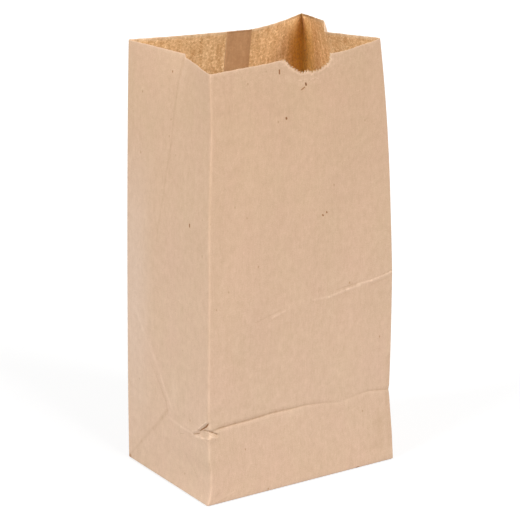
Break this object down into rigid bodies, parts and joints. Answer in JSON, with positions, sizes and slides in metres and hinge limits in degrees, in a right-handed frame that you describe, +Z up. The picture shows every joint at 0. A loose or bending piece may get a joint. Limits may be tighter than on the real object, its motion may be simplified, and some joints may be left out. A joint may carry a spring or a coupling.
{
  "type": "paper lunch bag",
  "caption": "Open brown kraft paper lunch bag standing on its flat square bottom, with creased-in sides, a thumb notch torn in the front lip and a glued back seam.",
  "frame": {"origin": "the middle of the square bottom, on the face that the bag stands on", "axes": "+Z up through the open mouth, -Y out of the front wall with the thumb notch, +X to the right seen from the front"},
  "size_m": [0.125, 0.0927, 0.2498],
  "materials": {
    "kraft_paper": "matte"
  },
  "bodies": {
    "root": {"paper_bag": "kraft_paper"}
  },
  "joints": []
}
